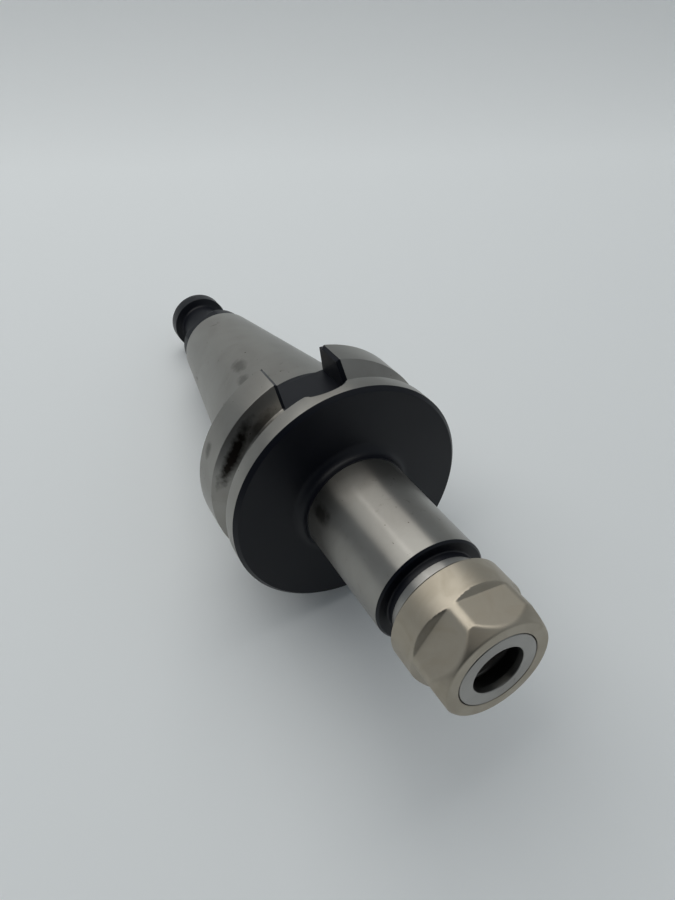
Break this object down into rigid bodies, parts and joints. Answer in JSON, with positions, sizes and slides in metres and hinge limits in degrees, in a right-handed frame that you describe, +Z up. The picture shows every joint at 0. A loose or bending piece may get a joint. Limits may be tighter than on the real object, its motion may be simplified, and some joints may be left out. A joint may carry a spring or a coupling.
{
  "type": "collet chuck tool holder",
  "caption": "Steep-taper machine tool holder with a grooved drive flange, slim neck, screwed collet clamping nut and a pull stud at the small end.",
  "frame": {"origin": "on the holder's axis at the gauge line, the circle where the taper is 44.45 mm across", "axes": "the holder lies as it rests on a flat surface: +Z up, +X level, pointing the way the nose points, +Y across; the holder's own axis rises 12.5 degrees from +X towards +Z, from the pull stud to the nose"},
  "size_m": [0.1771, 0.063, 0.0652],
  "materials": {
    "ground_steel": "ground, satin",
    "black_stud": "black oxide",
    "nut_steel": "satin, faintly warm",
    "ring_steel": "fine ground",
    "ball_steel": "polished"
  },
  "bodies": {
    "holder": {"holder_body": "ground_steel", "pull_stud": "black_stud"},
    "face_ring": {"nut_face_ring": "ring_steel"},
    "bearing_balls": {"nut_bearing_balls": "ball_steel"},
    "nut": {"clamping_nut": "nut_steel"}
  },
  "joints": [
    {"name": "nut_travel", "type": "slide", "parent": "holder", "child": "face_ring", "axis": [0.9764, 0, 0.2161], "range_m": [0, 0.0094]},
    {"name": "nut_turn", "type": "hinge", "parent": "face_ring", "child": "nut", "pos_m": [0, 0, 0], "axis": [0.9764, 0, 0.2161], "range_deg": [0, 2257]},
    {"name": "ball_orbit", "type": "hinge", "parent": "face_ring", "child": "bearing_balls", "pos_m": [0, 0, 0], "axis": [0.9764, 0, 0.2161], "range_deg": [0, 1129]}
  ],
  "couplings": [
    {"joint": "nut_turn", "follows": "nut_travel", "rad_per_m": 4188.8},
    {"joint": "ball_orbit", "follows": "nut_travel", "rad_per_m": 2094.4}
  ]
}
